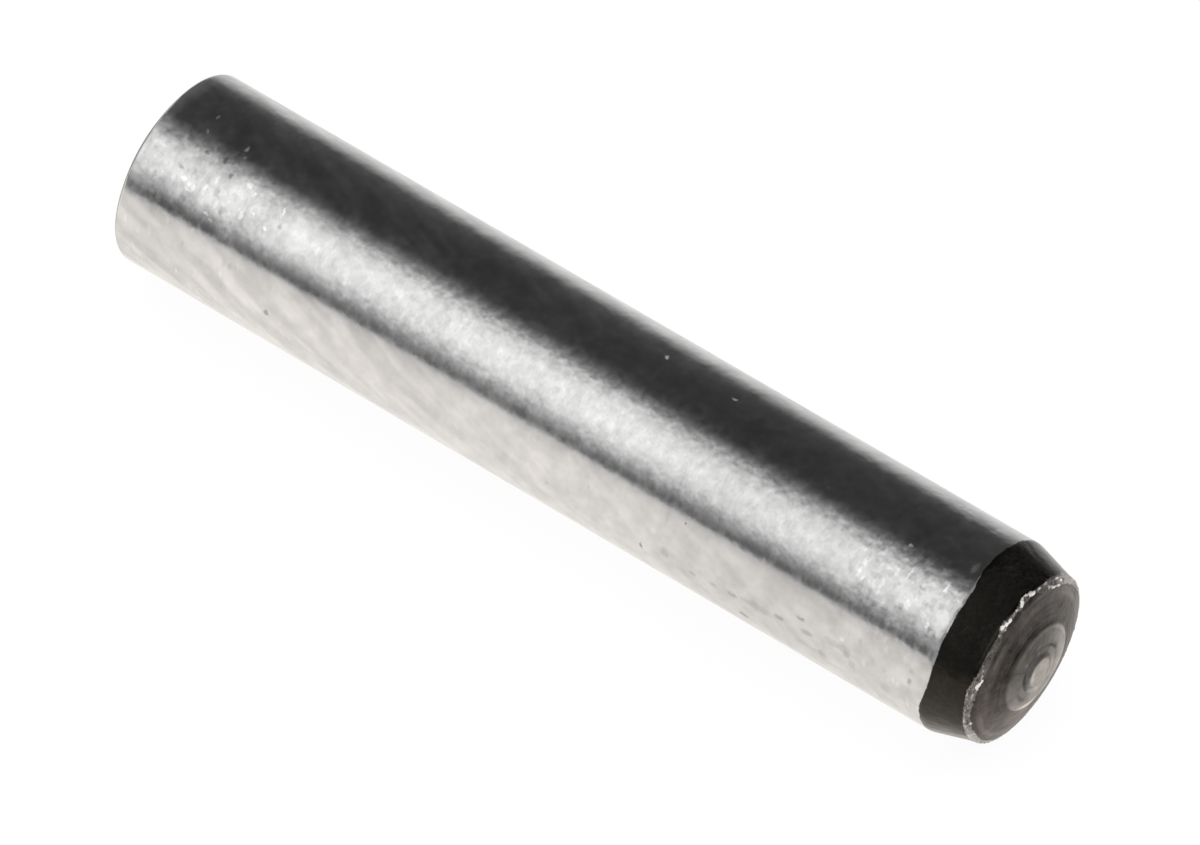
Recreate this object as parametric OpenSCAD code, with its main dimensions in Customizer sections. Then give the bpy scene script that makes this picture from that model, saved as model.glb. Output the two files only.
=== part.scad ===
// Hardened parallel dowel pin: a ground shank, a chamfered and crowned lead end with a turned
// centre, and a plain crowned end. The pin lies along X with its lead end towards +X, and the
// origin is on the axis, half way along the overall length. Millimetres.

/* [Shank] */
// Ground diameter of the shank
pin_d = 5; // [4.5:0.1:6]
// Overall length, over both crowns
pin_len = 26; // [14:1:60]

/* [Lead end] */
// Length of the lead chamfer along the axis
chamfer_len = 1.12; // [0.7:0.02:1.5]
// Angle between the lead chamfer and the axis, in degrees
chamfer_angle = 16; // [10:1:20]
// Radius of the crowned lead face
lead_crown_r = 5.4; // [4.5:0.1:9]
// Rounding of the rim between the chamfer and the crown
rim_r = 0.05; // [0.03:0.01:0.12]

/* [Turned face] */
// Diameter of the pip that the tool leaves at the centre
pip_d = 0.9; // [0.5:0.05:1.1]
// Height of the pip above the raised disc
pip_h = 0.04; // [0.02:0.01:0.08]
// Width of the groove round the pip
moat_w = 0.22; // [0.12:0.02:0.26]
// Depth of the groove round the pip
moat_depth = 0.04; // [0.02:0.01:0.06]
// Width of the flat land between that groove and the edge of the raised disc
land_w = 0.48; // [0.3:0.02:0.6]
// Height of the raised disc above the crown round it
disc_h = 0.03; // [0.02:0.01:0.05]
// Number of fine turned rings between the raised disc and the rim
ring_count = 3; // [1:1:4]
// Width of each fine ring
ring_w = 0.1; // [0.06:0.02:0.12]
// Depth of each fine ring
ring_depth = 0.012; // [0.008:0.002:0.02]

/* [Plain end] */
// Radius of the crown on the plain end
tail_crown_r = 5; // [4.5:0.1:9]
// Rounding of the edge between the shank and that crown
tail_edge_r = 0.12; // [0.06:0.02:0.3]

/* [Hidden] */
$fn = 96;

shank_r = pin_d / 2;
lead_tip = pin_len / 2;
tail_tip = -pin_len / 2;

// Lead end, in the half-section: x is the radius and y runs along the axis
lead_face_r = shank_r - chamfer_len * tan(chamfer_angle);
lead_crown_h = arc_height(lead_crown_r, lead_face_r);
lead_crown_y = lead_tip - disc_h - pip_h - lead_crown_r;
face_y = lead_crown_y + lead_crown_r - lead_crown_h;
chamfer_y = face_y - chamfer_len;

// Centre of the rim's rounding: rim_r inside the chamfer and rim_r inside the crown
chamfer_dir = [-sin(chamfer_angle), cos(chamfer_angle)];
chamfer_in = [-cos(chamfer_angle), -sin(chamfer_angle)];
rim_start = [shank_r, chamfer_y] + rim_r * chamfer_in;
rim_centre = along(rim_start, chamfer_dir, [0, lead_crown_y], lead_crown_r - rim_r);

// Turned centre of the lead face
pip_r = pip_d / 2;
moat_mid_r = pip_r + moat_w / 2;
disc_r = pip_r + moat_w + land_w;
disc_crown_r = lead_crown_r + disc_h;
pip_crown_r = disc_crown_r + pip_h;
ring_pitch = (lead_face_r - disc_r) / (ring_count + 1);

// Plain end: the rounding is tangent to the shank and to the crown
tail_crown_y = tail_tip + tail_crown_r;
tail_centre = [
    shank_r - tail_edge_r,
    tail_crown_y - sqrt(pow(tail_crown_r - tail_edge_r, 2) - pow(shank_r - tail_edge_r, 2))
];

// Height of a circular arc of radius r over a half-chord
function arc_height(r, half_chord) = r - sqrt(r * r - half_chord * half_chord);

// Radius of the cutter that leaves a groove of that width and depth
function cutter_r(width, depth) = (width * width / 4 + depth * depth) / (2 * depth);

// The point on the line from start along dir that lies at distance r from centre
function along(start, dir, centre, r) =
    let (
        from = start - centre,
        b = from * dir,
        c = from * from - r * r
    )
    start + (sqrt(b * b - c) - b) * dir;

// Half-disc of a crown, cut off by the line from its centre through a point
module crown_sector(centre_y, r, through) {
    reach = 2 * r / norm(through - [0, centre_y]);
    edge = [0, centre_y] + reach * (through - [0, centre_y]);
    intersection() {
        translate([0, centre_y]) circle(r);
        polygon([[0, centre_y], edge, [0, edge[1]]]);
    }
}

// Part of a crown inside a radius, seen from its centre
module crown_core(centre_y, r, core_r) {
    intersection() {
        translate([0, centre_y]) circle(r);
        translate([0, centre_y]) square([core_r, 2 * r]);
    }
}

// Groove of that width and depth, sunk into a crown at a radius
module crown_groove(centre_y, crown_r, at_r, width, depth) {
    r = cutter_r(width, depth);
    surface_y = centre_y + sqrt(crown_r * crown_r - at_r * at_r);
    translate([at_r, surface_y + r - depth]) circle(r);
}

// Shank, from the edge of the plain end to the start of the chamfer
module shank_section() {
    translate([0, tail_centre[1]]) square([shank_r, chamfer_y - tail_centre[1]]);
}

// Lead chamfer, up to the rounding of the rim
module chamfer_section() {
    rim_on_chamfer = rim_centre - rim_r * chamfer_in;
    polygon([
        [0, chamfer_y],
        [shank_r, chamfer_y],
        rim_on_chamfer,
        rim_centre,
        [0, rim_centre[1]]
    ]);
    translate(rim_centre) circle(rim_r);
}

// Crowned lead face with its turned rings, raised disc, groove and pip
module face_section() {
    difference() {
        crown_sector(lead_crown_y, lead_crown_r, rim_centre);
        for (i = [1:ring_count])
            crown_groove(lead_crown_y, lead_crown_r, disc_r + i * ring_pitch, ring_w, ring_depth);
    }
    difference() {
        crown_core(lead_crown_y, disc_crown_r, disc_r);
        crown_groove(lead_crown_y, disc_crown_r, moat_mid_r, moat_w, moat_depth);
    }
    crown_core(lead_crown_y, pip_crown_r, pip_r);
}

// Plain crowned end with its rounded edge
module tail_section() {
    translate(tail_centre) circle(tail_edge_r);
    crown_sector(tail_crown_y, tail_crown_r, tail_centre);
}

module dowel_pin() {
    color("silver")
        rotate([0, 90, 0])
            rotate_extrude() {
                shank_section();
                chamfer_section();
                face_section();
                tail_section();
            }
}

dowel_pin();
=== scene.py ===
"""Dowel pin: one hardened steel pin, ground bright along its shank, with black scale left on its lead
chamfer, a ragged burr round the rim and a turned face inside it. Run as a script, it models the pin
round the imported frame, and adds the floor, a light tent, the room's soft light and the camera."""

import math

import bpy
import numpy as np
from bpy.props import FloatProperty, FloatVectorProperty, IntProperty, PointerProperty
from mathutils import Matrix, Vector


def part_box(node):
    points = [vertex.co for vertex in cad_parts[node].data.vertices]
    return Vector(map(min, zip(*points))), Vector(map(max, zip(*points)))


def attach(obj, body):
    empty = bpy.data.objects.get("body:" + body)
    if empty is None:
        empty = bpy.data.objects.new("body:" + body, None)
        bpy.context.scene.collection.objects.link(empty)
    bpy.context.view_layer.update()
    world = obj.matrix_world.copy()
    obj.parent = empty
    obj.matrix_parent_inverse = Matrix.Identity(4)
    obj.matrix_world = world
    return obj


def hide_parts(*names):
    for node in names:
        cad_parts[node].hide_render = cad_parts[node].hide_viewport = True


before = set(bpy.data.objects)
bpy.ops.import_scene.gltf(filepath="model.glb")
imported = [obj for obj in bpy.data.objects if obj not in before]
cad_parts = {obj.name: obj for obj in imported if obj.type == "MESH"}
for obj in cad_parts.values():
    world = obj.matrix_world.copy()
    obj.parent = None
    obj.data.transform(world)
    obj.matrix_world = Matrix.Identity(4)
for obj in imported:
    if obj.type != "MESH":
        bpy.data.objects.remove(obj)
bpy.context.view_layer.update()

bl_info = {
    "name": "Dowel Pin",
    "version": (1, 0, 0),
    "blender": (4, 5, 0),
    "location": "View3D > Sidebar > Dowel Pin",
    "description": "Models a hardened dowel pin with its burr, scale and tool marks, and lights it",
    "category": "Add Mesh",
}

MM = 0.001
NODE = "dowel_pin"
LOW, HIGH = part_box(NODE)
SHANK_R = HIGH[2]
LEAD_TIP = HIGH[0]
TAIL_TIP = LOW[0]

# What each vertex of the pin keeps for the material: its distance from the rim, how far it lies in the
# burr, how pale the burr is there, and the beads and the smears, with their painted highlights and shade,
# on it
ATTRIBUTES = ("from_rim", "burr", "pale", "bead", "smear_and_light")


def length(name, description, default):
    """A length, given in millimetres and kept in metres."""
    metres = default * MM
    return FloatProperty(name=name, description=description, default=metres, unit="LENGTH", precision=6)


def degrees(name, description, default):
    """An angle, given in degrees and kept in radians."""
    return FloatProperty(name=name, description=description, default=math.radians(default), subtype="ANGLE")


def strength(name, description, default):
    return FloatProperty(name=name, description=description, default=default, min=0.0)


def colour(name, description, default):
    return FloatVectorProperty(
        name=name, description=description, default=default, subtype="COLOR", size=3, min=0.0, max=1.0
    )


class PinSizes(bpy.types.PropertyGroup):
    """Sizes of the turned ends, as in the part's source, less what is worn off them."""

    chamfer_length: length("Chamfer length", "Length of the lead chamfer along the axis", 1.12)
    chamfer_angle: degrees("Chamfer angle", "Angle between the lead chamfer and the axis", 16)
    lead_crown: length("Lead crown", "Radius of the crowned lead face", 5.4)
    rim: length("Rim", "Rounding of the rim between chamfer and face", 0.05)
    pip_width: length("Pip width", "Diameter of the pip at the centre of the face", 0.9)
    pip_height: length("Pip height", "Height of the pip above the disc", 0.04)
    moat_width: length("Moat width", "Width of the groove round the pip", 0.22)
    moat_depth: length("Moat depth", "Depth of the groove round the pip", 0.04)
    land: length("Land", "Width of the disc outside that groove", 0.48)
    disc_height: length("Disc height", "Height of the disc above the face round it", 0.03)
    ring_count: IntProperty(name="Rings", description="Fine turned rings outside the disc", default=3)
    ring_width: length("Ring width", "Width of a fine ring", 0.1)
    ring_depth: length("Ring depth", "Depth of a fine ring, worn", 0.006)
    tail_crown: length("Tail crown", "Radius of the crown on the plain end", 5.0)
    tail_edge: length("Tail edge", "Rounding of the plain end's edge", 0.10)
    tail_wear: length("Tail wear", "How far the plain end is worn short of the full length", 0.06)


class PinWear(bpy.types.PropertyGroup):
    """How rough the turned and tumbled surfaces are."""

    segments: IntProperty(name="Segments", description="Faces round the pin", default=288)
    burr: length("Burr", "Height of the lip that the burr stands on", 0.03)
    ragged: length("Ragged edge", "Height of the ragged teeth of the burr", 0.09)
    tooth: length("Tooth size", "Size of the ragged teeth of the burr", 0.11)
    ding_depth: length("Ding depth", "Depth of the deepest dings near both ends", 0.004)
    ding_size: length("Ding size", "Size of the dings near both ends", 0.22)
    corner: length("Corner", "Rounding where the chamfer meets the shank", 0.6)


class PinFinish(bpy.types.PropertyGroup):
    """Colours of the bare and scaled steel."""

    steel: colour("Steel", "Ground steel of the shank", (0.66, 0.655, 0.652))
    scale: colour("Scale", "Black heat-treatment scale on the chamfer", (0.018, 0.0162, 0.0135))
    face: colour("Face", "Dull turned steel of the lead face", (0.042, 0.038, 0.0355))
    disc: colour("Disc", "Cleaner disc in the middle of the face", (0.116, 0.112, 0.107))
    pip: colour("Pip", "Bare pip at the centre of the face", (0.32, 0.31, 0.295))
    burr: colour("Burr", "Bare bright steel of the burr", (0.97, 0.93, 0.885))


class Studio(bpy.types.PropertyGroup):
    """Camera, floor and light."""

    azimuth: degrees("Azimuth", "Camera's turn round the pin", 37.31)
    elevation: degrees("Elevation", "Camera's height above the floor", 49.98)
    distance: length("Distance", "From the camera to the pin", 350.08)
    lens: FloatProperty(
        name="Lens", description="Focal length of the camera", default=450.0, subtype="DISTANCE_CAMERA"
    )
    floor: colour("Floor", "Pale floor", (0.93, 0.93, 0.93))
    tent: strength("Tent", "Brightness of the light tent", 1.0)
    world: strength("World", "Brightness of the room's soft light", 1.05)


# -------- section of the pin

# Distance between the section's points on each stretch of it
FACE_STEP = 0.027 * MM
RIM_STEP = 0.02 * MM
CHAMFER_STEP = 0.04 * MM
SHANK_STEP = 0.5 * MM
SHANK_END_STEP = 0.065 * MM
TAIL_STEP = 0.06 * MM
ROUNDING_TURN = 0.2
CORNER_TURN = math.radians(2)

# How far the fine points reach: from the rim over the face and the chamfer, and along the shank's ends
FACE_MARGIN = 0.35 * MM
CHAMFER_MARGIN = 0.25 * MM
SHANK_END = 3 * MM

# In shares of the rim's radius: how far its centre is set in, along the axis and towards it, and where the
# points of the face stop and those of the chamfer start
RIM_IN_X, RIM_IN_R = 0.75, 0.55
RIM_ON_FACE, RIM_ON_CHAMFER = 0.6, 1.6

# Worn steps of the face: how far outside their edge they start, their widths, and the hollow round the disc
STEP_START = 0.02 * MM
DISC_STEP = 0.05 * MM
PIP_STEP = 0.06 * MM
HOLLOW_WIDTH = 0.20 * MM
HOLLOW_DEPTH = 0.016 * MM


class Section:
    """Half-section of the pin: where each surface lies along the axis."""

    def __init__(self, s, corner):
        self.s = s
        self.corner = corner
        self.face_r = SHANK_R - s.chamfer_length * math.tan(s.chamfer_angle)
        self.crown_x = LEAD_TIP - s.pip_height - s.disc_height - s.lead_crown
        self.face_x = self.crown_x + s.lead_crown - crown_drop(s.lead_crown, self.face_r)
        self.chamfer_x = self.face_x - s.chamfer_length
        self.chamfer_slant = s.chamfer_length / math.cos(s.chamfer_angle)
        self.corner_reach = corner * math.tan(s.chamfer_angle / 2)
        self.corner_x = self.chamfer_x - self.corner_reach
        self.pip_r = s.pip_width / 2
        self.moat_r = self.pip_r + s.moat_width / 2
        self.disc_r = self.pip_r + s.moat_width + s.land
        self.tail_tip = TAIL_TIP + s.tail_wear
        self.tail_centre_x = self.tail_tip + s.tail_crown
        self.tail_edge_r = SHANK_R - s.tail_edge
        reach = math.sqrt((s.tail_crown - s.tail_edge) ** 2 - self.tail_edge_r**2)
        self.tail_edge_x = self.tail_centre_x - reach

    def face(self, r):
        """Place along the axis of the lead face at a distance from the axis."""
        s = self.s
        x = self.crown_x + s.lead_crown - crown_drop(s.lead_crown, r)
        pitch = (self.face_r - self.disc_r) / (s.ring_count + 1)
        for i in range(1, s.ring_count + 1):
            x -= groove(r, self.disc_r + i * pitch, s.ring_width, s.ring_depth)
        x += s.disc_height * ease((self.disc_r + STEP_START - r) / DISC_STEP)
        x += s.pip_height * ease((self.pip_r + STEP_START - r) / PIP_STEP)
        x -= groove(r, self.disc_r + HOLLOW_WIDTH / 2, HOLLOW_WIDTH, HOLLOW_DEPTH)
        return x - groove(r, self.moat_r, s.moat_width, s.moat_depth)

    def points(self):
        """Points (along the axis, off the axis) from the lead tip to the tail tip."""
        lead = [*self.face_points(), *self.rim_points(), *self.chamfer_points()]
        return [*lead, *self.shank_points(), *self.tail_points()]

    def face_points(self):
        margin_r = self.face_r - FACE_MARGIN
        for r in steps(0.0, margin_r, FACE_STEP):
            yield self.face(r), r
        for r in steps(margin_r + RIM_STEP, self.face_r - self.s.rim * RIM_ON_FACE, RIM_STEP):
            yield self.face(r), r

    def rim_points(self):
        """The rim's rounding, set in from the corner that the face and the chamfer would make."""
        rim = self.s.rim
        centre_x, centre_r = self.face_x - rim * RIM_IN_X, self.face_r - rim * RIM_IN_R
        start = math.asin(self.face_r / self.s.lead_crown)
        for turn in steps(start, math.pi / 2 - self.s.chamfer_angle, ROUNDING_TURN):
            yield centre_x + rim * math.cos(turn), centre_r + rim * math.sin(turn)

    def chamfer_points(self):
        """The chamfer, and the rounding that takes it into the shank."""
        s = self.s
        margin_x = self.face_x - CHAMFER_MARGIN
        end_x = self.chamfer_x + self.corner_reach * math.cos(s.chamfer_angle)
        for start, end, step in (
            (self.face_x - s.rim * RIM_ON_CHAMFER, margin_x, RIM_STEP),
            (margin_x - RIM_STEP, end_x, CHAMFER_STEP),
        ):
            for x in steps(start, end, step):
                yield x, self.face_r + (self.face_x - x) * math.tan(s.chamfer_angle)
        for turn in steps(s.chamfer_angle, 0.0, CORNER_TURN)[1:]:
            drop = self.corner * (1 - math.cos(turn))
            yield self.corner_x + self.corner * math.sin(turn), SHANK_R - drop

    def shank_points(self):
        near = self.chamfer_x - SHANK_END
        far = self.tail_edge_x + SHANK_END
        for start, end, step in (
            (self.corner_x - CHAMFER_STEP, near, SHANK_END_STEP),
            (near, far, SHANK_STEP),
            (far, self.tail_edge_x, SHANK_END_STEP),
        ):
            for x in steps(start, end, step)[:-1]:
                yield x, SHANK_R

    def tail_points(self):
        """The plain end's rounded edge, and its crown."""
        s = self.s
        crown_turn = math.atan2(self.tail_edge_x - self.tail_centre_x, self.tail_edge_r)
        for turn in steps(0.0, crown_turn, ROUNDING_TURN):
            crown_r = self.tail_edge_r + s.tail_edge * math.cos(turn)
            yield self.tail_edge_x + s.tail_edge * math.sin(turn), crown_r
        for r in steps(crown_r, 0.0, TAIL_STEP)[1:]:
            yield self.tail_tip + crown_drop(s.tail_crown, r), r

    def from_rim(self, x, r):
        """Distance from the rim along the surface: below 0 on the lead face, and above 0 outside it."""
        slant = (self.face_x - x) / math.cos(self.s.chamfer_angle)
        shank = self.chamfer_slant + self.chamfer_x - x
        outside = np.where(x < self.chamfer_x, shank, slant)
        on_face = (x > self.face_x - 2 * self.s.rim) & (r < self.face_r)
        return np.where(on_face, r - self.face_r, outside)


def crown_drop(radius, at_r):
    """How far a crown has dropped from its tip at a distance from the axis."""
    return radius - math.sqrt(radius * radius - at_r * at_r)


def groove(r, at_r, width, depth):
    """Depth of a round-bottomed groove at a distance from the axis."""
    off = abs(r - at_r) / (width / 2)
    return depth * (1 - off * off) if off < 1 else 0.0


def ease(t):
    """Smooth step from 0 to 1."""
    t = np.clip(t, 0.0, 1.0)
    return t * t * (3 - 2 * t)


def steps(start, end, size):
    """Evenly spaced values from start to end, both included, about a size apart."""
    count = max(1, math.ceil(abs(end - start) / size))
    return [start + (end - start) * i / count for i in range(count + 1)]


# -------- modelling

# How far the pip stands off the axis, and how far the surface round it is drawn along
PIP_SHIFT = (0, -0.045 * MM, -0.01 * MM)
PIP_MARGIN = 0.04 * MM
PIP_DRAG = 0.2 * MM

# Where the dings of each end start, in mm from the pin's middle, and how much further out they are full
LEAD_DINGS = (8.4, 1.5)
TAIL_DINGS = (9.4, 1.2)

# How far the dings reach onto the chamfer, and how far in from there and from the plain end they are full
DING_REACH = 0.1 * MM
DING_FADE = 0.3 * MM

# How much of the lip's height the burr and its beads take
LIP_SHARE = 0.3
BEAD_SHARE = 0.7

# Smallest weight that moves a vertex
LEAST_WEIGHT = 0.001

# Edges sharper than this stay sharp in the shading
SMOOTH_ANGLE = math.radians(60)

# Vertices closer than this are one
MERGE = 1e-6

# Overlapping beads add up to no more than this
BEAD_TOP = 1.3


def edit(piece, *moves):
    """Runs edit-mode operators on one piece with everything selected."""
    bpy.ops.object.select_all(action="DESELECT")
    piece.select_set(True)
    bpy.context.view_layer.objects.active = piece
    bpy.ops.object.mode_set(mode="EDIT")
    bpy.ops.mesh.select_all(action="SELECT")
    for move in moves:
        move()
    bpy.ops.object.mode_set(mode="OBJECT")


def first_point(name, place):
    """Adds a piece that is a single vertex, to be extruded, and gives it with the move that places it."""
    bpy.ops.object.select_all(action="DESELECT")
    bpy.ops.mesh.primitive_plane_add(size=MM, location=(0, 0, 0))
    piece = bpy.context.object
    piece.name = piece.data.name = name

    def start():
        bpy.ops.mesh.merge(type="CENTER")
        bpy.ops.transform.translate(value=place)

    return piece, start


def extrude(move):
    bpy.ops.mesh.extrude_vertices_move(TRANSFORM_OT_translate={"value": move})


def turned(name, points, segments):
    """Draws a half-section, one extruded vertex after another, and spins it round the X axis."""
    piece, start = first_point(name, (points[0][0], 0, points[0][1]))

    def draw():
        for (x0, r0), (x1, r1) in zip(points, points[1:]):
            extrude((x1 - x0, 0, r1 - r0))

    def spin():
        bpy.ops.mesh.select_all(action="SELECT")
        bpy.ops.mesh.spin(steps=segments, angle=2 * math.pi, center=(0, 0, 0), axis=(1, 0, 0))
        bpy.ops.mesh.select_all(action="SELECT")
        bpy.ops.mesh.remove_doubles(threshold=MERGE)
        bpy.ops.mesh.normals_make_consistent(inside=False)

    edit(piece, start, draw, spin)
    return piece


def shift_pip(piece, section):
    """Moves the pip off the axis, as a worn tool leaves it, and lets the groove round it follow."""
    x, r, _ = places(piece)
    edit(piece, lambda: bpy.ops.mesh.select_all(action="DESELECT"))
    piece.data.vertices.foreach_set("select", (r < section.pip_r + PIP_MARGIN) & (x > 0))
    bpy.ops.object.mode_set(mode="EDIT")
    bpy.ops.transform.translate(
        value=PIP_SHIFT,
        use_proportional_edit=True,
        proportional_size=PIP_DRAG,
        proportional_edit_falloff="SMOOTH",
    )
    bpy.ops.object.mode_set(mode="OBJECT")


def places(piece):
    """Place of each vertex of a piece along the pin's axis, and its distance and angle round it."""
    co = np.empty(len(piece.data.vertices) * 3, np.float32)
    piece.data.vertices.foreach_get("co", co)
    x, y, z = co.reshape(-1, 3).T.astype(float)
    return x, np.hypot(y, z), np.degrees(np.arctan2(z, y))


def mark(piece, name, values):
    """Keeps one number for each vertex, for the material."""
    attribute = piece.data.attributes.new(name, "FLOAT", "POINT")
    attribute.data.foreach_set("value", np.asarray(values, np.float32))


def push(piece, name, weights, depth, middle=0.0, cells=None, octaves=1, kind="SOFT_NOISE"):
    """Moves a surface along its normal, by depth times the weights, and by a noise if cells have a size."""
    group = piece.vertex_groups.new(name=name)
    for i in np.flatnonzero(weights > LEAST_WEIGHT):
        group.add([int(i)], float(weights[i]), "REPLACE")
    move = piece.modifiers.new(name, "DISPLACE")
    move.vertex_group = name
    move.strength = depth
    move.mid_level = middle
    if cells:
        texture = bpy.data.textures.new(name, "CLOUDS")
        texture.noise_scale = cells
        texture.noise_depth = octaves
        texture.noise_type = kind
        move.texture = texture
        move.texture_coords = "LOCAL"
    bpy.ops.object.modifier_apply(modifier=name)
    piece.vertex_groups.remove(piece.vertex_groups[name])


# -------- marks on the pin

# Places on the lead end are an angle from +Y through +Z, in degrees, and a distance from the rim in mm,
# below 0 on the face. The burr: angle, its middle and its half width in mm, and how pale it is.
BURR = (
    (-60, 0.01, 0.05, 0.5), (-20, 0.01, 0.05, 0.6), (0, 0, 0.06, 0.6), (14, 0.01, 0.08, 0.6),
    (22, 0.02, 0.14, 0.6), (32, 0.03, 0.19, 0.7), (42, 0.01, 0.19, 0.9), (47, -0.05, 0.15, 1),
    (51, -0.07, 0.14, 1), (60, -0.07, 0.16, 1), (67, -0.09, 0.12, 0.6), (74, -0.08, 0.1, 0.5),
    (80, -0.03, 0.05, 0.5), (86, 0.01, 0.07, 0.6), (90, 0.02, 0.09, 0.6), (95, -0.03, 0.08, 0.6),
    (100, -0.04, 0.05, 0.5), (110, -0.02, 0.07, 0.8), (116, -0.03, 0.06, 0.6), (121, -0.1, 0.09, 0.3),
    (138, -0.1, 0.12, 0.3), (145, -0.1, 0.11, 0.45), (151, -0.07, 0.12, 0.7), (158, -0.01, 0.15, 0.7),
    (168, 0, 0.13, 0.7), (178, 0.03, 0.1, 0.8), (187, 0.02, 0.11, 1), (194, 0.01, 0.11, 1.1),
    (203, 0, 0.13, 1), (214, 0.01, 0.13, 0.8), (228, 0.02, 0.12, 0.8), (242, 0.01, 0.08, 0.7),
    (260, 0.01, 0.05, 0.5),
)

# Beads and curls on the burr, raised and given a painted highlight: angle, distance from the rim, half
# length in degrees, half width in mm, and height
BEADS = (
    (48, -0.08, 4, 0.05, 0.5), (54.5, -0.18, 4.8, 0.05, 0.6), (55, -0.02, 7, 0.05, 0.35),
    (60.5, -0.18, 3.6, 0.05, 0.6), (65, -0.14, 3.4, 0.06, 0.6), (70.5, -0.03, 6, 0.05, 0.4),
    (72, -0.17, 4.4, 0.05, 0.4), (77.5, -0.03, 3.6, 0.04, 0.5), (82.5, -0.02, 2.6, 0.045, 1.3),
    (85.3, 0.02, 2.6, 0.05, 1.3), (88.3, 0.06, 2.8, 0.05, 1.3), (91.3, 0.055, 2.2, 0.045, 1.3),
    (93.2, 0.01, 1.7, 0.05, 1.3), (94.8, -0.03, 1.9, 0.065, 1.3), (96.4, -0.15, 1, 0.07, 0.4),
    (99.7, -0.02, 1.8, 0.05, 0.7), (103.5, -0.04, 1.5, 0.04, 0.4), (107.5, -0.04, 2.2, 0.06, 1.1),
    (110.5, -0.02, 2, 0.06, 1.2), (113.2, -0.1, 1.2, 0.06, 0.5), (113.5, 0.01, 2, 0.05, 1.1),
    (118, -0.03, 1.4, 0.05, 0.5), (140, -0.03, 1.6, 0.04, 0.4), (143.5, -0.08, 2, 0.04, 0.4),
    (147.5, -0.13, 2.2, 0.04, 0.5), (150.5, -0.17, 1.7, 0.05, 1), (151.8, 0, 1.2, 0.06, 0.45),
    (152.8, -0.13, 2, 0.06, 1), (155, -0.09, 2.2, 0.07, 1.3), (157, -0.12, 1.4, 0.05, 0.4),
    (158.5, 0.09, 3.2, 0.05, 0.5), (161.5, -0.03, 5, 0.06, 0.25), (163, 0.09, 3.6, 0.05, 0.5),
    (167.5, -0.12, 6, 0.04, 0.25), (169.5, 0.01, 2.2, 0.07, 0.5), (176.5, 0.08, 5, 0.05, 0.5),
    (183.5, 0.07, 3.6, 0.06, 0.6), (187.5, -0.08, 3.4, 0.06, 0.4), (189, 0.04, 2.2, 0.03, 0.6),
    (197.5, -0.09, 2.6, 0.05, 0.5),
)
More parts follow.
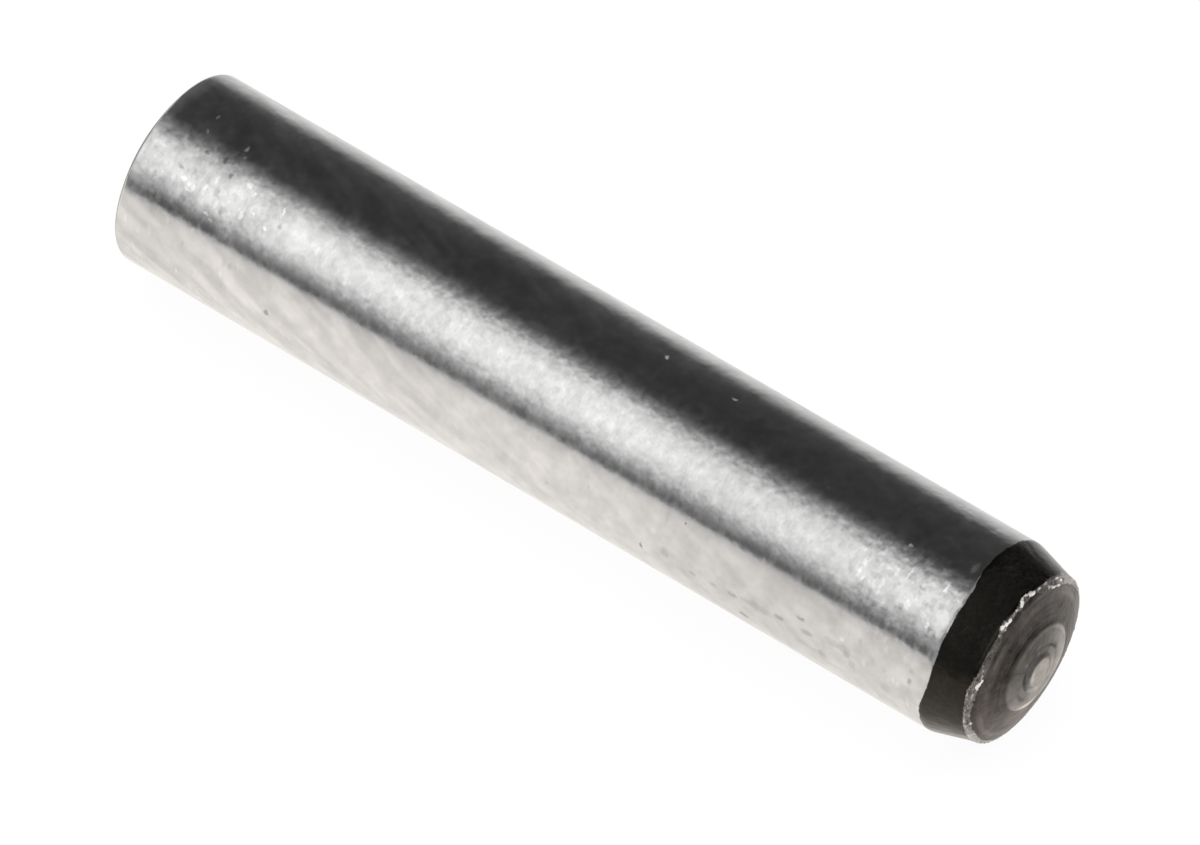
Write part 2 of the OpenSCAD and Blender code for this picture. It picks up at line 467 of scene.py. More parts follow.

# Smears and tool marks on the face, with painted highlights along edges and painted shade beside steps and
# grooves: angle, distance from the rim, half length in degrees, half width in mm, and how much lighter, or
# darker below 0, each is
SMEARS_AND_PAINTED_LIGHT = (
    (0, -1.68, 50, 0.16, 0.35), (8, -0.25, 22, 0.22, 0.9), (22, -1.52, 16, 0.06, -0.5),
    (25, -0.35, 10, 0.06, 0.3), (28, -0.12, 16, 0.12, 0.8), (28, -1.3, 44, 0.16, 0.3),
    (30, -0.33, 12, 0.1, 0.7), (30, -0.46, 14, 0.22, 0.5), (30, -1.09, 34, 0.07, 0.6),
    (32, -0.32, 16, 0.2, 0.6), (36, -0.12, 18, 0.16, 1.2), (36, -0.45, 10, 0.12, -0.3),
    (36, -1.12, 28, 0.08, 0.25), (38, -1.78, 18, 0.04, -0.3), (40, -0.29, 24, 0.12, 1.1),
    (40, -1.93, 30, 0.1, -0.12), (42, -0.33, 26, 0.12, 0.5), (45, -0.6, 36, 0.4, 0.3),
    (48, -0.62, 10, 0.1, -0.15), (50, -0.5, 12, 0.12, 0.4), (60, -0.22, 30, 0.08, 0.5),
    (60, -0.38, 22, 0.1, 0.3), (60, -1.55, 46, 0.07, -0.85), (62, -1.77, 40, 0.07, -0.1),
    (70, -0.92, 10, 0.06, -0.3), (72, -0.5, 34, 0.2, 0.6), (78, -0.85, 25, 0.12, -0.2),
    (82, -0.29, 34, 0.09, 0.7), (83, -0.3, 4, 0.06, -0.3), (85, -1.72, 24, 0.07, 0.15),
    (88, -0.38, 8, 0.07, 0.3), (90, -0.41, 14, 0.07, 0.6), (90, -1.4, 9, 0.06, 0.5),
    (91, -1.62, 9, 0.06, 0.6), (98, -1.1, 44, 0.08, 0.4), (104, -0.4, 12, 0.1, 0.3),
    (105, -1.3, 10, 0.06, 0.15), (106, -0.65, 7, 0.25, 0.15), (118, -0.92, 48, 0.08, -0.8),
    (120, -0.51, 44, 0.07, 0.4), (124, -0.36, 5, 0.07, 0.4), (128, -1.15, 14, 0.14, 0.3),
    (131, -0.28, 20, 0.045, -0.5), (131, -0.4, 6, 0.09, 0.3), (131, -1.43, 4, 0.08, 0.7),
    (135, -0.4, 18, 0.06, 0.7), (137, -0.37, 5, 0.07, 0.4), (145, -0.8, 10, 0.15, -0.1),
    (145, -1.22, 1.6, 0.2, -0.35), (150, -0.54, 12, 0.07, 0.5), (150, -1.74, 20, 0.06, -0.2),
    (152, -0.72, 26, 0.22, -0.45), (155.5, -0.44, 2.5, 0.06, 0.9), (158.5, -0.36, 2, 0.07, 0.6),
    (165, -0.42, 6, 0.06, 0.4), (170, -0.27, 14, 0.06, 0.2), (170, -0.86, 10, 0.14, -0.5),
    (172, -1.83, 30, 0.07, 0.45), (188, -0.82, 16, 0.18, -0.35), (188, -1.6, 46, 0.07, -0.75),
    (192, -0.29, 14, 0.1, 0.9), (195, -0.33, 12, 0.06, 0.4), (205, -0.5, 14, 0.1, 0.2),
    (208, -0.18, 16, 0.04, -0.6), (212, -0.29, 12, 0.08, 0.7), (212, -1.22, 22, 0.09, 0.18),
    (212, -1.35, 24, 0.07, -0.42), (215, -0.24, 16, 0.16, 1), (218, -0.8, 16, 0.18, 0.2),
    (225, -0.62, 14, 0.2, 0.3), (230, -0.82, 14, 0.18, 0.5), (230, -0.88, 10, 0.12, 0.4),
    (232, -0.3, 16, 0.12, 0.5), (235, -0.22, 22, 0.14, 0.7), (235, -1.1, 40, 0.1, 0.3),
    (242, -0.08, 14, 0.1, 0.8), (245, -0.85, 28, 0.4, 0.9), (252, -0.8, 16, 0.17, 0.9),
    (255, -1.12, 18, 0.16, 0.25), (255, -1.45, 20, 0.25, 0.35), (256, -0.92, 14, 0.14, 0.9),
    (258, -0.92, 16, 0.2, 1), (285, -1.62, 80, 0.18, 1), (335, -1.8, 22, 0.07, 0.3),
    (342, -1.3, 50, 0.32, 0.36), (358, -0.12, 26, 0.22, 1.4),
)

# Marks along the shank: x in mm, angle, half length and half width in mm, and how much lighter, or darker
# below 0, each is
SHANK_MARKS = (
    (11, 162, 0.08, 0.1, -0.15), (11, 169, 0.1, 0.12, -0.35), (10.95, 134, 0.05, 0.14, 0.4),
    (10.9, 112, 0.05, 0.17, 0.5), (10.75, 157, 0.1, 0.14, 0.1), (10.4, 118, 0.12, 0.06, -0.3),
    (10.35, 184, 0.23, 0.24, -0.15), (10.25, 128, 0.06, 0.1, 0.25), (10.25, 158, 0.1, 0.14, 0.1),
    (10.05, 145, 0.05, 0.2, 0.5), (9.95, 115, 0.04, 0.2, 0.45), (9.65, 117, 0.12, 0.12, 0.3),
    (9.55, 102, 0.1, 0.09, 0.6), (9.4, 181, 0.16, 0.18, -0.15), (9.25, 175, 0.16, 0.12, -0.25),
    (9.05, 167, 0.09, 0.11, 0.2), (8.95, 172, 0.47, 0.15, -0.2), (8.8, 192, 0.39, 0.12, -0.1),
    (8.65, 115, 0.1, 0.1, 0.25), (8.55, 187, 0.16, 0.21, -0.15), (8.2, 187, 0.52, 0.12, -0.1),
    (8.1, 176, 0.26, 0.11, -0.25), (7.9, 169, 0.17, 0.09, -0.35), (7.3, 177, 0.22, 0.09, -0.3),
    (6.65, 179, 0.59, 0.18, -0.15), (6.25, 195, 0.18, 0.1, -0.45), (5.95, 181, 0.18, 0.17, -0.1),
    (5.95, 181, 0.21, 0.1, -0.2), (5.4, 182, 0.16, 0.09, -0.2), (4.8, 183, 0.13, 0.1, -0.2),
    (4.4, 153, 0.04, 0.05, -0.7), (4, 179, 0.16, 0.21, -0.15), (3.9, 155, 0.08, 0.26, -0.1),
    (3.6, 168, 0.1, 0.15, 0.15), (3.3, 183, 0.05, 0.14, -0.3), (3.3, 185, 0.05, 0.11, -0.5),
    (1.7, 164, 0.04, 0.06, -0.2), (0.55, 179, 0.04, 0.06, -0.2), (-7.75, 174, 0.1, 0.12, -0.45),
    (-8.15, 124, 0.1, 0.1, -0.3), (-8.25, 116, 0.04, 0.16, 0.4), (-8.45, 129, 0.06, 0.05, 0.4),
    (-8.9, 125, 0.05, 0.05, 0.4), (-9.1, 116, 0.06, 0.06, 0.45), (-9.35, 113, 0.12, 0.09, 0.35),
    (-9.55, 121, 0.3, 0.22, 0.1), (-9.85, 140, 0.06, 0.05, 0.45), (-9.9, 114, 0.07, 0.12, -0.4),
    (-10, 125, 0.14, 0.18, -0.25), (-10, 138, 0.1, 0.05, 0.55), (-10.25, 108, 0.08, 0.1, -0.45),
    (-10.7, 132, 0.12, 0.05, 0.3), (-10.75, 109, 0.07, 0.07, -0.4), (-10.9, 128, 0.09, 0.09, 0.35),
    (-11, 110, 0.06, 0.07, 0.5), (-11.1, 123, 0.12, 0.06, -0.3),
)

# Specks of dust, pale on dark steel: x in mm, angle, half length and half width in mm, and strength
DUST = (
    (11.15, 93.5, 0.1, 0.24, 0.07), (9.55, 101.5, 0.07, 0.07, 0.18), (3.7, 76.5, 0.11, 0.06, 0.32),
    (1.65, 74.5, 0.07, 0.08, 0.38), (-9.9, 101, 0.05, 0.06, 0.15), (-10, 96, 0.05, 0.16, 0.22),
    (-11.1, 98.5, 0.04, 0.05, 0.14), (-11.15, 87.5, 0.05, 0.12, 0.12),
)


def spots(table, angle, from_rim):
    """Sum of the marks of a table at each place on the lead end."""
    total = np.zeros_like(angle)
    for middle, at, half_angle, half_width, amount in table:
        along = ((angle - middle + 180) % 360 - 180) / half_angle
        across = (from_rim / MM - at) / half_width
        total += amount * ease(1.25 - 1.25 * (along**2 + across**2))
    return total


def burr_band(angle, from_rim):
    """How far in the burr each point lies, from 0 at its edges to 1, and how pale the burr is there."""
    table = np.array(BURR)
    middle, half, pale = (np.interp(angle, table[:, 0], table[:, i], period=360) for i in (1, 2, 3))
    off = (from_rim - middle * MM) / (half * MM)
    return np.clip(1.3 - 1.3 * off * off, 0, 1), pale


def ding_share(section, x):
    """How dinged the shank is at each place along it: only near its ends, and not at their very edges."""
    behind_chamfer = ease((section.chamfer_x + DING_REACH - x) / DING_FADE)
    on_shank = behind_chamfer * ease((x - section.tail_edge_x) / DING_FADE)
    lead = ease((x / MM - LEAD_DINGS[0]) / LEAD_DINGS[1])
    tail = ease((-x / MM - TAIL_DINGS[0]) / TAIL_DINGS[1])
    return on_shank * (lead + tail)


# -------- shader expressions


class Shader:
    """A material or world node tree."""

    def __init__(self, owner):
        owner.use_nodes = True
        self.tree = owner.node_tree
        self.tree.nodes.clear()

    def node(self, kind, settings=(), **values):
        """Adds a node: its settings first, then the values or links of its sockets, by name or number."""
        n = self.tree.nodes.new("ShaderNode" + kind)
        for key, value in dict(settings).items():
            setattr(n, key, value)
        for key, value in values.items():
            numbered = key[0] == "i" and key[1:].isdigit()
            self.feed(n.inputs[int(key[1:]) if numbered else key.replace("_", " ")], value)
        return n

    def out(self, kind, settings=(), output=0, **values):
        """Adds a node and gives one of its outputs."""
        return Value(self, self.node(kind, settings, **values).outputs[output])

    def feed(self, socket, value):
        if isinstance(value, Value):
            self.tree.links.new(value.socket, socket)
        else:
            socket.default_value = value

    def math(self, operation, *values):
        return self.out("Math", {"operation": operation}, **{f"i{i}": v for i, v in enumerate(values)})

    def vector(self, x, y, z):
        return self.out("CombineXYZ", X=x, Y=y, Z=z)

    def parts(self, vector):
        """The three numbers of a vector."""
        n = self.node("SeparateXYZ", Vector=vector)
        return [Value(self, output) for output in n.outputs]

    def root(self, y, z):
        """Length of a line that goes y one way and z the other."""
        return self.math("SQRT", y * y + z * z)

    def mix(self, factor, a, b):
        """Blend of two colours, a where factor is 0 and b where it is 1."""
        return self.out("Mix", {"data_type": "RGBA"}, 2, i0=factor, i6=a, i7=b)

    def tint(self, base, amount):
        """A colour made lighter or darker by an amount that varies."""
        return self.out("VectorMath", {"operation": "SCALE"}, i0=tuple(base), Scale=amount)

    def spot(self, place, at, half):
        """1 in the middle of an oval spot and 0 outside it, with its half lengths along each axis."""
        spread = [1 / h for h in half]
        shift = [-c / h for c, h in zip(at, half)]
        off = self.out("VectorMath", {"operation": "MULTIPLY_ADD"}, i0=place, i1=spread, i2=shift)
        size = self.out("VectorMath", {"operation": "LENGTH"}, "Value", i0=off)
        return self.fade(size, 1.0, 0.35)

    def noise(self, place, cell, detail=2.0, roughness=0.5):
        """Noise from 0 to 1, with cells of a size in the place's own units."""
        values = {"Vector": place, "Scale": 1 / cell, "Detail": detail, "Roughness": roughness}
        return self.out("TexNoise", {"noise_dimensions": "3D"}, "Fac", **values)

    def speckle(self, place, cell, detail=2.0, roughness=0.5):
        """The same noise about 0."""
        return self.noise(place, cell, detail, roughness) - 0.5

    def curve(self, value, points):
        """Straight lines between points, each a place and a height, and level outside them."""
        start, end = points[0][0], points[-1][0]
        top = max(height for _, height in points)
        n = self.node("ValToRGB", i0=(value - start) / (end - start))
        stops = n.color_ramp.elements
        while len(stops) < len(points):
            stops.new(0.5)
        for stop, (at, height) in zip(stops, points):
            stop.position = (at - start) / (end - start)
            stop.color = (height / top, height / top, height / top, 1)
        return Value(self, n.outputs[0]) * top

    def fade(self, value, start, end, low=0.0, high=1.0):
        """Smooth step from low, at start, to high, at end."""
        smooth = {"interpolation_type": "SMOOTHSTEP"}
        return self.out("MapRange", smooth, i0=value, i1=start, i2=end, i3=low, i4=high)

    def near(self, value, middle, inner, outer, high=1.0, low=0.0):
        """Smooth step from high, within inner of a middle, to low, beyond outer of it."""
        return self.fade(self.math("ABSOLUTE", value - middle), inner, outer, high, low)


class Value:
    """A socket that takes part in sums."""

    def __init__(self, shader, socket):
        self.shader, self.socket = shader, socket

    def __add__(self, other):
        return self.shader.math("ADD", self, other)

    def __sub__(self, other):
        return self.shader.math("SUBTRACT", self, other)

    def __rsub__(self, other):
        return self.shader.math("SUBTRACT", other, self)

    def __mul__(self, other):
        return self.shader.math("MULTIPLY", self, other)

    def __truediv__(self, other):
        return self.shader.math("DIVIDE", self, other)

    __radd__ = __add__
    __rmul__ = __mul__


# -------- steel

# Angles round the shank: the middle of its most scuffed side, and of the side with the scale ground back
SCUFFED_SIDE = 124
GROUND_SIDE = 137

# Middle of the bare patch on the pip, off the axis, in mm
PIP_MIDDLE = (-0.07, -0.02)

# Middle, from the rim in mm, of the paler band that runs round the face inside its rim
PALE_BAND = -0.34

# Direction, in the face, in which its painted shade deepens
PAINTED_SHADE_WAY = (-0.42, 0.91)

# Depth of the relief where its height is 1
RELIEF = 0.012 * MM


class Surface:
    """What the finishes read: places in mm and degrees, noises about 0, and masks from 0 to 1."""

    def __init__(self, s, section):
        self.s = s
        self.disc_r, self.pip_r = section.disc_r / MM, section.pip_r / MM
        self.tail_edge_x = section.tail_edge_x / MM
        self.scale_edge = section.chamfer_slant / MM + 0.03
        self.find_places()
        self.make_noises()
        self.find_zones()
        self.find_finishes()

    def find_places(self):
        """Places on the pin. The turn is the angle round it, with its jump underneath."""
        s = self.s
        metres = s.out("TexCoord", output="Object")
        self.place = s.out("VectorMath", {"operation": "SCALE"}, i0=metres, Scale=1 / MM)
        self.x, self.y, self.z = s.parts(self.place)
        self.radius = s.root(self.y, self.z)
        self.angle = s.math("ARCTAN2", self.z, self.y) * (180 / math.pi)
        self.turn = s.math("WRAP", self.angle, 270.0, -90.0)
        self.round_pin = self.turn * (math.pi / 180 * SHANK_R / MM)
        self.from_rim, self.in_burr, self.pale, self.bead, self.smear_and_light = (
            s.out("Attribute", {"attribute_name": name}, "Fac") for name in ATTRIBUTES
        )

    def drawn_round(self, share):
        """The place, less spread across the pin than along it, which draws cells out round the pin."""
        return self.s.vector(self.x, self.y * share, self.z * share)

    def make_noises(self):
        s, place = self.s, self.place
        self.cloud = s.speckle(place, 3.5)
        self.wobble = s.speckle(place, 1.3, 1.5)
        self.swell = s.speckle(self.drawn_round(0.6), 0.9, 1.5)
        self.patch = s.fade(s.noise(place, 0.62, 2.2, 0.55), 0.30, 0.70) - 0.5
        self.blotch = s.speckle(place, 0.35, 2.5, 0.6)
        self.grain = s.speckle(self.drawn_round(0.42), 0.34, 1.3)
        self.fleck = s.fade(s.noise(self.drawn_round(0.85), 0.27, 2.0, 0.55), 0.38, 0.62) - 0.5
        self.ripple = s.speckle(place, 0.24, 1.2)
        self.mottle = s.speckle(place, 0.22, 1.5)
        self.chip = s.noise(self.drawn_round(0.7), 0.17, 1.2)
        self.curl = s.speckle(place, 0.14, 1.0)
        self.crumb = s.speckle(place, 0.10, 2.5, 0.65)
        self.fine = s.speckle(place, 0.045, 1.0)
        # painted highlight on the burr's beads and curls
        self.painted_flash = s.fade(self.bead + self.curl + self.crumb, 0.20, 0.95)
        self.make_tool_marks()

    def make_tool_marks(self):
        """Streaks that slant along the shank, and rings and arcs drawn round both ends."""
        s, x, radius = self.s, self.x, self.radius
        along, over = x + self.round_pin * 0.45, self.round_pin - x * 0.45
        slanted = s.vector(along * 0.16, over + self.wobble * 0.5, 0.0)
        self.drift = s.fade(s.noise(slanted, 0.46, 1.4), 0.35, 0.65) - 0.5
        self.rings = s.speckle(s.vector(radius, 0.0, self.swell * 0.12), 0.05)
        self.tail_rings = s.speckle(s.vector(radius, 0.0, self.swell * 0.5), 0.16)
        arcs = s.vector(radius * 2.4, self.y / radius * 3.4, self.z / radius * 3.4)
        drawn = s.speckle(arcs, 1.0, 1.5)
        self.worn = self.rings * 0.04 + self.crumb * 1.2 + drawn * 0.9 + self.blotch * 2.4

    def find_zones(self):
        """Stretches of the pin that are more worn than others, and those that face another way."""
        s, x, turn = self.s, self.x, self.turn
        self.ends = s.fade(x, 8.2, 9.3, 0.0, 1.25) + s.fade(x, -7.2, -9.4)
        self.tail_side = s.fade(x, -4.0, -8.0)
        self.tail_half = s.fade(x, 1.0, -5.0)
        self.rubbed = s.fade(x, -11.8, -12.35)
        self.scuffed = s.near(turn, SCUFFED_SIDE, 13, 21)
        self.milky = s.near(turn, SCUFFED_SIDE, 22, 28, high=0.0, low=1.0)
        # painted light on the burr along the rim's far side
        self.painted_rim_light = s.fade(turn, 62, 34) + s.fade(turn, 178, 214)

    def find_finishes(self):
        """Where each finish lies."""
        s, crumb = self.s, self.crumb
        ground_down = s.near(self.turn, GROUND_SIDE, 26, 52, high=0.16)
        jag = self.fleck * 0.02 + self.wobble * 0.03 + ground_down
        self.off_shank = s.fade(self.from_rim + jag, self.scale_edge, self.scale_edge + 0.03, 1.0, 0.0)
        self.on_face = s.fade(self.from_rim, -0.04, 0.0, 1.0, 0.0)
        ragged = crumb * (0.9 + self.pale * 0.6) * s.fade(self.in_burr, 0.0, 0.12)
        self.on_burr = s.fade(self.in_burr + ragged + self.bead * 0.6, 0.08, 0.62)
        off_centre = self.radius + self.wobble * 0.02 + crumb * 0.03
        self.on_disc = s.fade(off_centre, self.disc_r - 0.03, self.disc_r + 0.03, 1.0, 0.0) * self.on_face
        off_pip = s.root(self.y - PIP_MIDDLE[0], self.z - PIP_MIDDLE[1]) + crumb * 0.10
        self.on_pip = s.fade(off_pip, self.pip_r - 0.11, self.pip_r - 0.03, 1.0, 0.0) * self.on_face
        self.on_tail = s.fade(self.x, self.tail_edge_x - 0.02, self.tail_edge_x - 0.08)


def oval_marks(s, p, table, total):
    """Adds the oval marks of a table to a value, placed as if the shank were unrolled."""
    unrolled = s.vector(p.x + p.crumb * 0.20, p.round_pin + p.blotch * 0.15 + p.crumb * 0.16, 0.0)
    for at, middle_angle, half_length, half_width, amount in table:
        middle = (at, math.radians(middle_angle) * SHANK_R / MM, 0.0)
        total = s.spot(unrolled, middle, (half_length, half_width, 1.0)) * amount + total
    return total


def painted_glints(s, p):
    """Painted glints: small facets of the tumbled shank painted bright or dark, most of them near its ends.
    """
    shards = s.vector(p.x + p.crumb * 0.12, (p.y + p.mottle * 0.2) * 0.5, (p.z + p.blotch * 0.2) * 0.5)
    settings = {"voronoi_dimensions": "3D", "feature": "F1"}
    facet = s.node("TexVoronoi", settings, Vector=shards, Scale=7.0)
    chance = s.node("SeparateColor", Color=Value(s, facet.outputs["Color"])).outputs
    core = s.fade(Value(s, facet.outputs["Distance"]), 0.55, 0.25)
    bright = s.fade(Value(s, chance[0]) + p.ends * 0.06, 0.90, 0.98) * core
    dark = s.fade(Value(s, chance[1]) + p.ends * 0.05, 0.90, 0.98) * core
    return bright * (0.10 + p.ends * 0.16) - dark * (0.10 + p.ends * 0.12)


def shank_colour(s, p, steel):
    """Ground steel: flecked by tumbling, milky on its sides, with marks and painted glints, darker towards
    both ends, and with painted shade on its bright side near the plain end.
    """
    chips = s.fade(p.chip, 0.58, 0.66) * 0.10 - s.fade(p.chip, 0.42, 0.34) * 0.09
    flecks = (p.fleck * (0.12 + p.ends * 0.06) + chips * (0.8 + p.ends * 0.7)) * (1.0 - p.milky * 0.8)
    flecks = flecks * (1.0 - p.tail_side * 0.2) + p.patch * (0.05 + p.tail_side * (0.19 - p.milky * 0.17))
    milk = p.patch * (0.11 - p.tail_half * 0.05) + p.drift * (0.07 + p.tail_half * 0.09) + p.mottle * 0.10
    # painted glints, bright and dark, mostly outside the milky sides
    shade = 1.0 + flecks + milk * p.milky + painted_glints(s, p) * (1.0 - p.milky * 0.6)
    shade = oval_marks(s, p, SHANK_MARKS, shade + p.swell * 0.14 + p.cloud * 0.14)
    # darker towards both ends, and painted shade on the bright side near the plain end
    darkening_and_shade = s.fade(p.x, 1.5, 4.5, 1.0, 0.895) * s.fade(p.x, -9.3, -11.5, 1.0, 0.95)
    darkening_and_shade = darkening_and_shade * (1.0 - p.tail_side * (1.0 - p.milky) * 0.05)
    return s.tint(steel, shade * darkening_and_shade)


def scale_colour(s, p, scale):
    """Black scale, with painted light on the far side of the chamfer and low on it."""
    # painted light where the chamfer gleams on its far side and low down
    painted_sheen = (s.fade(p.angle, 48, 25) * 11.4 + s.fade(p.angle, 90, 60)) * s.fade(p.angle, -20, 5)
    painted_sheen = painted_sheen * (1.0 + p.crumb * 3.0 + p.blotch * 2.2) + s.fade(p.turn, 140, 190) * 0.95
    return s.tint(scale, 1.0 + p.crumb * 1.2 + p.blotch * 1.4 + p.cloud * 1.6 + painted_sheen)


def face_colours(s, p, finish):
    """Dull face, cleaner disc and bare pip, with painted shade one way across and a painted edge highlight
    on the disc.
    """
    # painted shade: the face and the disc darken one way across
    across = (p.y * PAINTED_SHADE_WAY[0] + p.z * PAINTED_SHADE_WAY[1]) / p.disc_r
    rise = p.radius / p.disc_r
    band = s.near(p.from_rim, PALE_BAND, 0.06, 0.22)
    # the smears add painted highlights and painted shade as well as real marks
    face = s.tint(finish.face, 1.80 - across * 0.50 + band * 0.65 + p.smear_and_light + p.worn)
    # painted highlight: the disc brightens towards its edge, on top of the painted shade across it
    disc_painted_light = 1.22 + rise * rise * 0.85 - across * (0.6 + rise * 0.8)
    disc = s.tint(finish.disc, disc_painted_light * (1.0 + p.smear_and_light + p.worn * 0.45))
    pip = s.tint(finish.pip, 1.23 + p.crumb * 0.9 + p.blotch + p.smear_and_light)
    return face, disc, pip


def burr_colour(s, p, burr):
    """Torn bright steel, pitted, with painted highlights on its beads and painted light along the rim's far
    side.
    """
    pit = s.fade(p.crumb + p.blotch * 0.5, -0.10, -0.17) * p.pale
    shade = 0.06 + p.pale * 0.23 + p.crumb * (0.14 + p.pale * 0.55) + p.curl * (0.10 + p.pale * 0.3)
    shade = shade + p.blotch * p.pale * 0.3 - pit * 0.07 + p.painted_rim_light * 0.26
    # painted highlight on the beads, and painted light along the far rim
    return s.tint(burr, s.math("MAXIMUM", shade + p.painted_flash * 0.88, 0.03))


def tail_colour(s, p, face):
    """Dull crown of the plain end, with its own rings, paler towards its edge."""
    return s.tint(face, 3.2 + p.worn + p.tail_rings * 1.4 + s.fade(p.radius, 1.8, 2.45) * 0.7)


def gloss(p):
    rough = 0.19 + p.fleck * 0.04 + p.off_shank * (0.03 + p.crumb * 0.15) + p.on_face * 0.20
    return rough + p.on_tail * 0.25 + p.on_burr * (0.15 + p.crumb * 0.5)


def relief(s, p):
    """Height of the grain of each finish."""
    shank = p.grain * (0.70 + p.scuffed + s.fade(p.turn, 80, 68) * 0.5)
    shank = shank + p.ripple * (0.20 + p.scuffed * 0.7 + p.ends * 0.2)
    shank = shank * (1.0 - p.tail_side * 0.35) * s.fade(p.turn, 130, 141, 1.0, 0.78) + p.fine * 0.02
    face = p.rings * 0.03 + p.crumb * 0.9 + p.blotch * 2.2
    height = shank * (1 - p.off_shank) + (p.crumb * 0.3 + p.blotch * 1.6) * p.off_shank
    height = height * (1 - p.on_face) + face * p.on_face + p.crumb * 5.0 * p.on_burr
    return height * (1 - p.on_tail) + (face + p.tail_rings * 0.8) * p.on_tail


def bare_metal(s, p):
    """1 on bare metal, and less under dust and scale, on the plain end's worn edge, and on the burr under
    its painted highlights and painted light.
    """
    dust = s.math("MAXIMUM", p.patch * 0.6 + p.mottle, 0.0) * 0.015 + oval_marks(s, p, DUST, 0.0)
    scaled = p.off_shank * (1.0 - p.on_face) * (1.0 - p.on_burr)
    metal = (1.0 - dust) * (1.0 - p.rubbed * 0.10) * (1.0 - scaled * 0.12)
    return metal * (1.0 - p.painted_flash * p.on_burr * 0.35) * (1.0 - p.painted_rim_light * p.on_burr * 0.55)


def steel_material(section, finish):
    """Ground shank, black chamfer, bright burr and dull turned ends, told apart by place on the pin."""
    mat = bpy.data.materials.new("pin_steel")
    s = Shader(mat)
    p = Surface(s, section)
    face, disc, pip = face_colours(s, p, finish)
    base = shank_colour(s, p, finish.steel)
    for mask, layer in (
        (p.off_shank, scale_colour(s, p, finish.scale)),
        (p.on_face, face),
        (p.on_disc, disc),
        (p.on_pip, pip),
        (p.on_burr, burr_colour(s, p, finish.burr)),
        (p.on_tail, tail_colour(s, p, finish.face)),
    ):
        base = s.mix(mask, base, layer)
    bump = s.out("Bump", Strength=1.0, Distance=RELIEF, Height=relief(s, p))
    steel = s.out(
        "BsdfPrincipled",
        Base_Color=base,
        Metallic=bare_metal(s, p),
        Roughness=gloss(p),
        Normal=bump,
    )
    s.node("OutputMaterial", Surface=steel)
    return mat


# -------- stage

# Point that the camera looks at, and its film and reach
AIM = (0.336 * MM, -0.167 * MM, -0.111 * MM)
FILM_WIDTH = 36.0
CLIP_START, CLIP_END = 0.01, 10.0

FLOOR_SIZE = 4.0

# The light tent: its radius and half length, where along the pin its bands start and are full, and its even
# brightness past them, out beyond the lead end
TENT_R = 0.5
TENT_HALF = 0.8
BANDS_START, BANDS_FULL = 0.06, 0.02
TENT_LEAD = 0.39
TENT_SEGMENTS = 96

# Brightness of the tent's bands by angle over the pin, in degrees: 0 is level in front and 180 level behind
TENT = (
    (0.5, 0.9), (5.4, 0.88), (6.9, 0.1), (9, 0.09), (13, 0.13), (17.6, 0.27), (22, 0.42), (26, 0.6),
    (31, 0.78), (35, 0.96), (39, 1.09), (44, 1.18), (52, 1.27), (57, 1.3), (61, 1.27), (65, 1.21),
    (69, 1.15), (73, 1.07), (78, 0.92), (82, 0.74), (86, 0.53), (90, 0.33), (95, 0.17), (100, 0.08),
    (104, 0.05), (110, 0.045), (140, 0.05), (160, 0.07), (176, 0.1), (179.7, 0.2),
)

# Brightness of the floor in the pin's gloss, by place across the pin in mm: in front below 0, behind above
FLOOR = (
    (-80, 0.9), (-40, 0.98), (-20, 1.03), (-10, 1.07), (-6, 1.08), (2, 1), (5, 0.95), (13, 0.76),
    (20, 0.62), (42, 0.38), (60, 0.28),
)

# Colours of the floor in the pin's gloss: in front of it, behind it, and near its lead end
FLOOR_FRONT = (1.0, 0.962, 0.915, 1)
FLOOR_BEHIND = (0.98, 0.98, 0.975, 1)
FLOOR_LEAD = (1.0, 0.945, 0.895, 1)
WHITE = (1, 1, 1, 1)

# What the camera sees of the floor: a white this bright, and its share over the floor's own shading
FLOOR_WHITE = 1.03
WHITE_SHARE = 0.9


def aim_camera(scene, st):
    """Puts the camera at its bearing round the pin and makes it the scene's own."""
    a, e = st.azimuth, st.elevation
    back = Vector((math.sin(a) * math.cos(e), -math.cos(a) * math.cos(e), math.sin(e)))
    bpy.ops.object.camera_add(location=Vector(AIM) + back * st.distance)
    camera = bpy.context.object
    camera.rotation_mode = "QUATERNION"
    camera.rotation_quaternion = (-back).to_track_quat("-Z", "Y")
    camera.data.lens = st.lens
    camera.data.sensor_width = FILM_WIDTH
    camera.data.clip_start = CLIP_START
    camera.data.clip_end = CLIP_END
    scene.camera = camera


def lay_floor(st):
    bpy.ops.mesh.primitive_plane_add(size=FLOOR_SIZE, location=(0, 0, -SHANK_R))
    floor = bpy.context.object
    floor.name = "floor"
    floor.data.materials.append(floor_material(st))


def floor_material(st):
    """White to the camera but for the pin's shadow, and graded where it shows in the pin's gloss."""
    mat = bpy.data.materials.new("floor")
    s = Shader(mat)
    x, y, _ = s.parts(s.out("TexCoord", output="Object"))
    x, y = x * (1 / MM), y * (1 / MM)
    hue = s.mix(s.fade(y, -2.0, 3.0), FLOOR_FRONT, FLOOR_BEHIND)
    hue = s.mix(s.fade(x, 11.3, 12.6) * s.fade(y, 8.0, 3.0), hue, FLOOR_LEAD)
    level = s.curve(y, FLOOR)
    glow = s.out("Emission", Color=hue, Strength=level)
    diffuse = s.out("BsdfDiffuse", Color=(*st.floor, 1))
    white = s.out("Emission", Color=WHITE, Strength=FLOOR_WHITE)
    camera, glossy, clear = rays(s)
    seen = s.out("MixShader", i0=camera * WHITE_SHARE, i1=diffuse, i2=white)
    both = s.out("MixShader", i0=s.math("MAXIMUM", glossy, clear), i1=seen, i2=glow)
    s.node("OutputMaterial", Surface=both)
    return mat


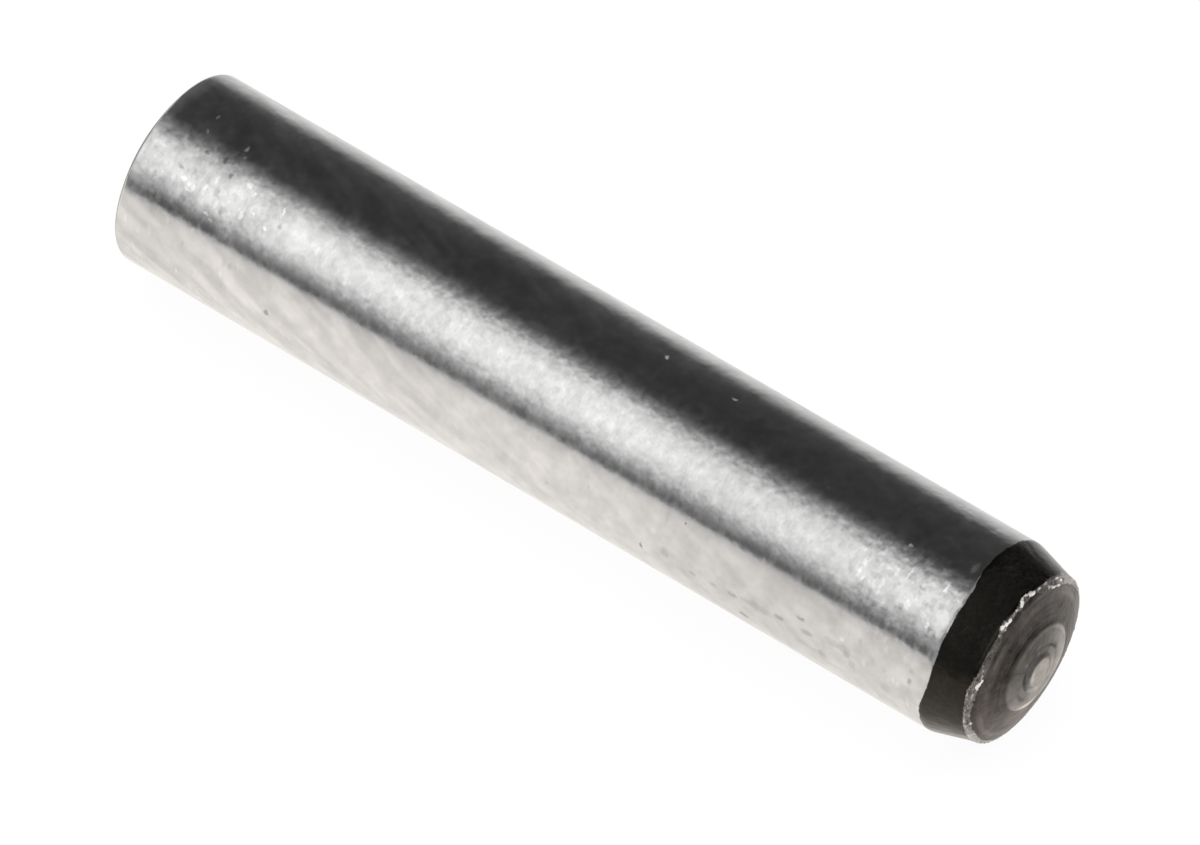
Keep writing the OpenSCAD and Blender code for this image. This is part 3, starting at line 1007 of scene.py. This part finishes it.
def rays(s):
    """1 for a ray from the camera, for one from a gloss, and for one that came through glass."""
    path = s.node("LightPath")
    return [Value(s, path.outputs[f"Is {kind} Ray"]) for kind in ("Camera", "Glossy", "Transmission")]


def light_tent(st):
    """A curved sheet over the pin, seen only in its gloss, with soft bright and dark bands along it."""
    first, last = math.radians(TENT[0][0]), math.radians(TENT[-1][0])
    corner = (-TENT_HALF, -math.cos(first) * TENT_R, math.sin(first) * TENT_R)
    tent, start = first_point("light_tent", corner)

    def sweep():
        extrude((2 * TENT_HALF, 0, 0))
        bpy.ops.mesh.select_all(action="SELECT")
        bpy.ops.mesh.spin(steps=TENT_SEGMENTS, angle=last - first, center=(0, 0, 0), axis=(1, 0, 0))

    edit(tent, start, sweep)
    tent.data.materials.append(tent_material(st))
    for way in ("camera", "diffuse", "transmission", "volume_scatter", "shadow"):
        setattr(tent, "visible_" + way, False)


def tent_material(st):
    mat = bpy.data.materials.new("light_tent")
    s = Shader(mat)
    x, y, z = s.parts(s.out("TexCoord", output="Object"))
    angle = s.math("ARCTAN2", z, 0 - y) * (180 / math.pi)
    bands = s.fade(x, BANDS_START, BANDS_FULL)
    level = s.curve(angle, TENT)
    brightness = (level * bands + (1 - bands) * TENT_LEAD) * st.tent
    glow = s.out("Emission", Color=WHITE, Strength=brightness)
    s.node("OutputMaterial", Surface=glow)
    return mat


def world_light(scene, st):
    """Soft light from all round, and white where the camera or a gloss sees the room itself."""
    world = bpy.data.worlds.new("studio")
    scene.world = world
    s = Shader(world)
    camera, glossy, clear = rays(s)
    seen = s.math("MAXIMUM", s.math("MAXIMUM", camera, glossy), clear)
    room = s.out("Background", Color=WHITE, Strength=st.world)
    backdrop = s.out("Background", Color=WHITE, Strength=1.0)
    s.node("OutputWorld", Surface=s.out("MixShader", i0=seen, i1=room, i2=backdrop))


# -------- operators


class DowelPin(bpy.types.Operator):
    """Turn the pin on its axis, break its rim with a burr and ding its ends"""

    bl_idname = "mesh.dowel_pin_turn"
    bl_label = "Turn Dowel Pin"
    bl_options = {"REGISTER", "UNDO"}

    def execute(self, context):
        sizes, wear, finish = context.scene.pin_sizes, context.scene.pin_wear, context.scene.pin_finish
        section = Section(sizes, wear.corner)
        pin = turned("pin", section.points(), wear.segments)
        shift_pip(pin, section)
        x, r, angle = places(pin)
        from_rim = section.from_rim(x, r)
        band, pale = burr_band(angle, from_rim)
        beads = np.minimum(spots(BEADS, angle, from_rim), BEAD_TOP)
        # smears on the face, with painted highlights and painted shade among the tool marks
        smears_and_light = spots(SMEARS_AND_PAINTED_LIGHT, angle, from_rim)
        for name, values in zip(ATTRIBUTES, (from_rim / MM, band, pale, beads, smears_and_light)):
            mark(pin, name, values)
        push(pin, "lip", band * LIP_SHARE * pale + beads * BEAD_SHARE, wear.burr)
        push(pin, "ragged", band * pale * pale, wear.ragged, 0.5, wear.tooth, 2, "HARD_NOISE")
        push(pin, "dings", ding_share(section, x), wear.ding_depth, 1.0, wear.ding_size)
        bpy.ops.object.shade_smooth_by_angle(angle=SMOOTH_ANGLE)
        pin.data.materials.append(steel_material(section, finish))
        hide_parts(NODE)
        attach(pin, "root")
        return {"FINISHED"}


class StudioStage(bpy.types.Operator):
    """Add the camera, the floor, the light tent and the room's soft light"""

    bl_idname = "scene.dowel_pin_stage"
    bl_label = "Light Dowel Pin"
    bl_options = {"REGISTER", "UNDO"}

    def execute(self, context):
        scene, st = context.scene, context.scene.pin_studio
        scene.view_settings.view_transform = "Standard"
        aim_camera(scene, st)
        lay_floor(st)
        world_light(scene, st)
        light_tent(st)
        return {"FINISHED"}


class PinPanel(bpy.types.Panel):
    """Sizes, finish and stage of the dowel pin"""

    bl_idname = "VIEW3D_PT_dowel_pin"
    bl_label = "Dowel Pin"
    bl_space_type = "VIEW_3D"
    bl_region_type = "UI"
    bl_category = "Dowel Pin"

    def draw(self, context):
        for group, operator in (
            ("pin_sizes", None),
            ("pin_wear", None),
            ("pin_finish", DowelPin.bl_idname),
            ("pin_studio", StudioStage.bl_idname),
        ):
            box = self.layout.box()
            settings = getattr(context.scene, group)
            for name in settings.__annotations__:
                box.prop(settings, name)
            if operator:
                box.operator(operator)


GROUPS = {"pin_sizes": PinSizes, "pin_wear": PinWear, "pin_finish": PinFinish, "pin_studio": Studio}
CLASSES = (*GROUPS.values(), DowelPin, StudioStage, PinPanel)


def register():
    for cls in CLASSES:
        bpy.utils.register_class(cls)
    for name, group in GROUPS.items():
        setattr(bpy.types.Scene, name, PointerProperty(type=group))


def unregister():
    for name in GROUPS:
        delattr(bpy.types.Scene, name)
    for cls in reversed(CLASSES):
        bpy.utils.unregister_class(cls)


def main():
    register()
    bpy.ops.scene.dowel_pin_stage()
    bpy.ops.mesh.dowel_pin_turn()


if __name__ == "__main__":
    main()
